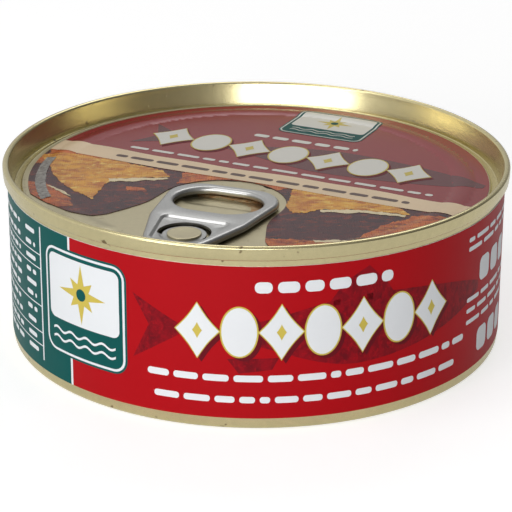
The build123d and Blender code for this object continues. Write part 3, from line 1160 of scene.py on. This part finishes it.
studio = {
    "floorReach": 3.0,
    "floorTone": 0.62,
    "floorGlow": 0.60,         # added where the floor is seen, so that it reads white
    "floorGleam": 0.34,        # the same in reflections
    "worldLevel": 0.25,
    "roomMiddle": 0.52,        # brightness of the room in reflections, and how much it changes
    "roomBack": 0.02,          # towards the back and the right
    "roomRight": -0.42,
    "softBoxes": {
        "keySoftBox": dict(azimuth=-20, elevation=13, away=0.95, wide=1.0, tall=0.3, power=7.1),
        "sideSoftBox": dict(azimuth=-58, elevation=56, away=0.8, wide=0.4, tall=0.4, power=1.4),
        "backSoftBox": dict(azimuth=170, elevation=50, away=0.9, wide=0.5, tall=0.4, power=1.4),
    },
}


def seenOrReflected(tree):
    path = tree.nodes.new("ShaderNodeLightPath")
    mirrored = addMath(tree, "MAXIMUM", path.outputs["Is Glossy Ray"],
                       path.outputs["Is Transmission Ray"])
    return path.outputs["Is Camera Ray"], mirrored


def makeFloor():
    reach = studio["floorReach"]
    mesh = bpy.data.meshes.new("floor")
    corners = [(-reach, -reach, 0), (reach, -reach, 0), (reach, reach, 0), (-reach, reach, 0)]
    mesh.from_pydata(corners, [], [[0, 1, 2, 3]])
    material = bpy.data.materials.new("floorPaint")
    material.use_nodes = True
    tree = material.node_tree
    shader = tree.nodes["Principled BSDF"]
    shader.inputs["Base Color"].default_value = (*[studio["floorTone"]] * 3, 1)
    shader.inputs["Roughness"].default_value = 0.9
    shader.inputs["Specular IOR Level"].default_value = 0.1
    shader.inputs["Emission Color"].default_value = (1, 1, 1, 1)
    camera, mirrored = seenOrReflected(tree)
    glow = addMath(tree, "MAXIMUM", addMath(tree, "MULTIPLY", camera, studio["floorGlow"]),
                   addMath(tree, "MULTIPLY", mirrored, studio["floorGleam"]))
    tree.links.new(glow, shader.inputs["Emission Strength"])
    mesh.materials.append(material)
    floor = bpy.data.objects.new("floor", mesh)
    bpy.context.scene.collection.objects.link(floor)


def makeWorld():
    world = bpy.data.worlds.new("studioWorld")
    world.use_nodes = True
    tree = world.node_tree
    back = tree.nodes["Background"]
    back.inputs["Color"].default_value = (1, 1, 1, 1)
    way = tree.nodes.new("ShaderNodeSeparateXYZ")
    tree.links.new(tree.nodes.new("ShaderNodeTexCoord").outputs["Generated"], way.inputs["Vector"])
    room = studio["roomMiddle"]
    for axis, amount in (("Y", "roomBack"), ("X", "roomRight")):
        room = addMath(tree, "ADD", addMath(tree, "MULTIPLY", way.outputs[axis], studio[amount]), room)
    camera, mirrored = seenOrReflected(tree)
    shown = addMath(tree, "MULTIPLY", mirrored, addMath(tree, "MINIMUM", room, 1.0))
    lit = addMath(tree, "MULTIPLY", addMath(tree, "SUBTRACT", 1.0, mirrored), studio["worldLevel"])
    level = addMath(tree, "ADD", shown, lit)
    tree.links.new(addMath(tree, "MAXIMUM", level, camera), back.inputs["Strength"])
    bpy.context.scene.world = world


def makeSoftBox(name, azimuth, elevation, away, wide, tall, power):
    lamp = bpy.data.lights.new(name, "AREA")
    lamp.shape = "RECTANGLE"
    lamp.size = wide
    lamp.size_y = tall
    lamp.energy = power
    holder = bpy.data.objects.new(name, lamp)
    bpy.context.scene.collection.objects.link(holder)
    x, y = polar(math.cos(math.radians(elevation)), azimuth - 90)
    way = Vector((x, y, math.sin(math.radians(elevation))))
    holder.location = way * away
    holder.rotation_euler = (-way).to_track_quat("-Z", "Y").to_euler()


view = {
    "elevation": 21.44,
    "distance": 0.427,
    "target": (0, 0, 0.018),
    "lens": 145.9,
    "sensor": 36.0,
    "shift": -0.0273,
    "roll": 0.288,
}


def makeCamera():
    e = math.radians(view["elevation"])
    way = Vector((0, math.cos(e), -math.sin(e)))
    lens = bpy.data.cameras.new("camera")
    lens.lens = view["lens"]
    lens.sensor_width = view["sensor"]
    lens.sensor_fit = "HORIZONTAL"
    lens.shift_y = view["shift"]
    lens.clip_start = 0.01
    camera = bpy.data.objects.new("camera", lens)
    bpy.context.scene.collection.objects.link(camera)
    turn = way.to_track_quat("-Z", "Y").to_matrix().to_4x4()
    camera.matrix_world = (Matrix.Translation(Vector(view["target"]) - way * view["distance"]) @ turn
                           @ Matrix.Rotation(math.radians(view["roll"]), 4, "Z"))
    bpy.context.scene.camera = camera


makeCamera()
makeFloor()
makeWorld()
for name, values in studio["softBoxes"].items():
    makeSoftBox(name, **values)
print("camera and studio made")
makeCan()
makeLid()
makeRivet()
print("can and lid made")
makeTab()
print("ring pull made")
makeWrap()
print("wrap label made")
makeDisc()
makeMarks()
print("lid label made")

bpy.context.scene.view_settings.view_transform = "Standard"
